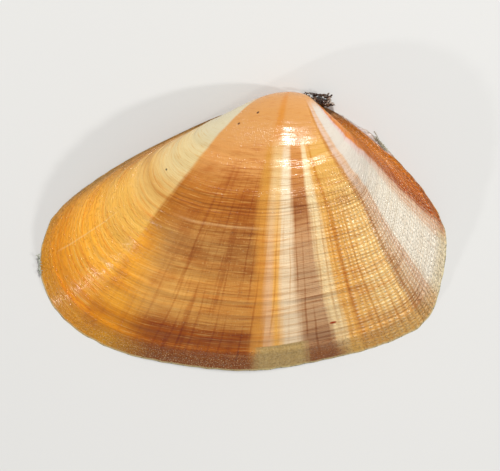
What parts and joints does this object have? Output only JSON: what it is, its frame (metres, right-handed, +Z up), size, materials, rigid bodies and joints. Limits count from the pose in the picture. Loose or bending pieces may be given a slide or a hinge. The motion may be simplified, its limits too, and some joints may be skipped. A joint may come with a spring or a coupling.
{
  "type": "bean clam shell valve",
  "caption": "Smooth wedge-shaped clam shell valve, hollow beneath, with a hinge plate, a flat rim to rest on and a torn ligament behind the beak.",
  "frame": {"origin": "middle of the bounding box's underside, on the surface that the rim rests on", "axes": "+X towards the short, blunt back end of the shell, +Y towards the hinge and beak, +Z up, out of the shell's rounded back"},
  "size_m": [0.0252, 0.0172, 0.0048],
  "materials": {
    "shell": "polished",
    "ligament": "matte",
    "dried_skin": "matte",
    "dried_matter": "matte"
  },
  "bodies": {
    "root": {"left_valve": "shell", "ligament": "ligament", "front_scrap": "dried_skin", "back_scrap": "dried_matter"}
  },
  "joints": []
}
